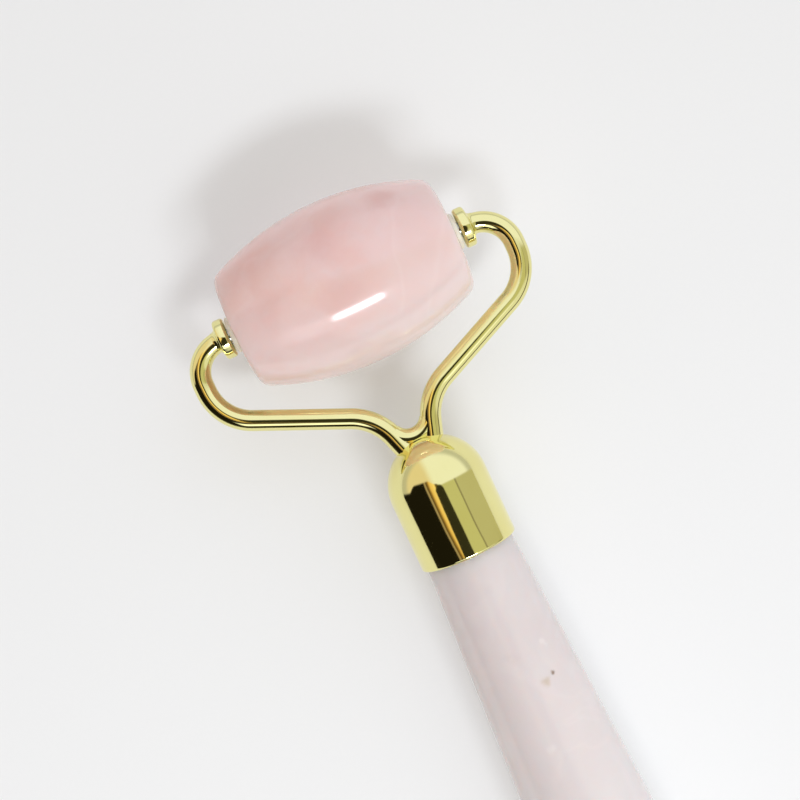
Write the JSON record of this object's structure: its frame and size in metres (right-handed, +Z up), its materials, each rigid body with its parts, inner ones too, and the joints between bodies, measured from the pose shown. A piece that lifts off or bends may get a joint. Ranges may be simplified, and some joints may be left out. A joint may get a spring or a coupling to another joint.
{
  "type": "face roller",
  "caption": "Facial massage roller: a barrel of rose quartz turns on pins between two bent gold rods that stand in a bell-shaped cap on a tapered stone handle.",
  "frame": {"origin": "on the floor, under the centre of the tool's bounding box, with the tool lying at rest on its barrel and on the swell of its handle", "axes": "+X along the barrel's axis, +Y from the handle's butt towards the barrel, +Z up"},
  "size_m": [0.0558, 0.145, 0.0262],
  "materials": {
    "roller_stone": "polished rose quartz, cloudy pink",
    "handle_stone": "polished rose quartz, very pale milky pink",
    "gold_plate": "mirror-polished, gold-plated brass",
    "raw_brass": "turned, unplated",
    "pin_steel": "ground steel pin",
    "stud_steel": "turned steel",
    "nylon": "natural nylon, slightly see-through",
    "epoxy": "clear set epoxy"
  },
  "bodies": {
    "handle": {"arm_left": "gold_plate", "arm_right": "gold_plate", "ferrule_cap": "gold_plate", "ferrule_core": "raw_brass", "handle_stud": "stud_steel", "handle_stone": "handle_stone", "stud_epoxy": "epoxy", "neck_epoxy": "epoxy", "thrust_disc_left": "gold_plate", "thrust_disc_right": "gold_plate", "pivot_pin_left": "pin_steel", "pivot_pin_right": "pin_steel"},
    "roller": {"roller_stone": "roller_stone", "bushing_left": "nylon", "bushing_right": "nylon", "bushing_glue_left": "epoxy", "bushing_glue_right": "epoxy"}
  },
  "joints": [
    {"name": "roller_spin", "type": "hinge", "parent": "handle", "child": "roller", "pos_m": [0, 0.05942, 0.0131], "axis": [1, 0, 0], "continuous": true}
  ]
}
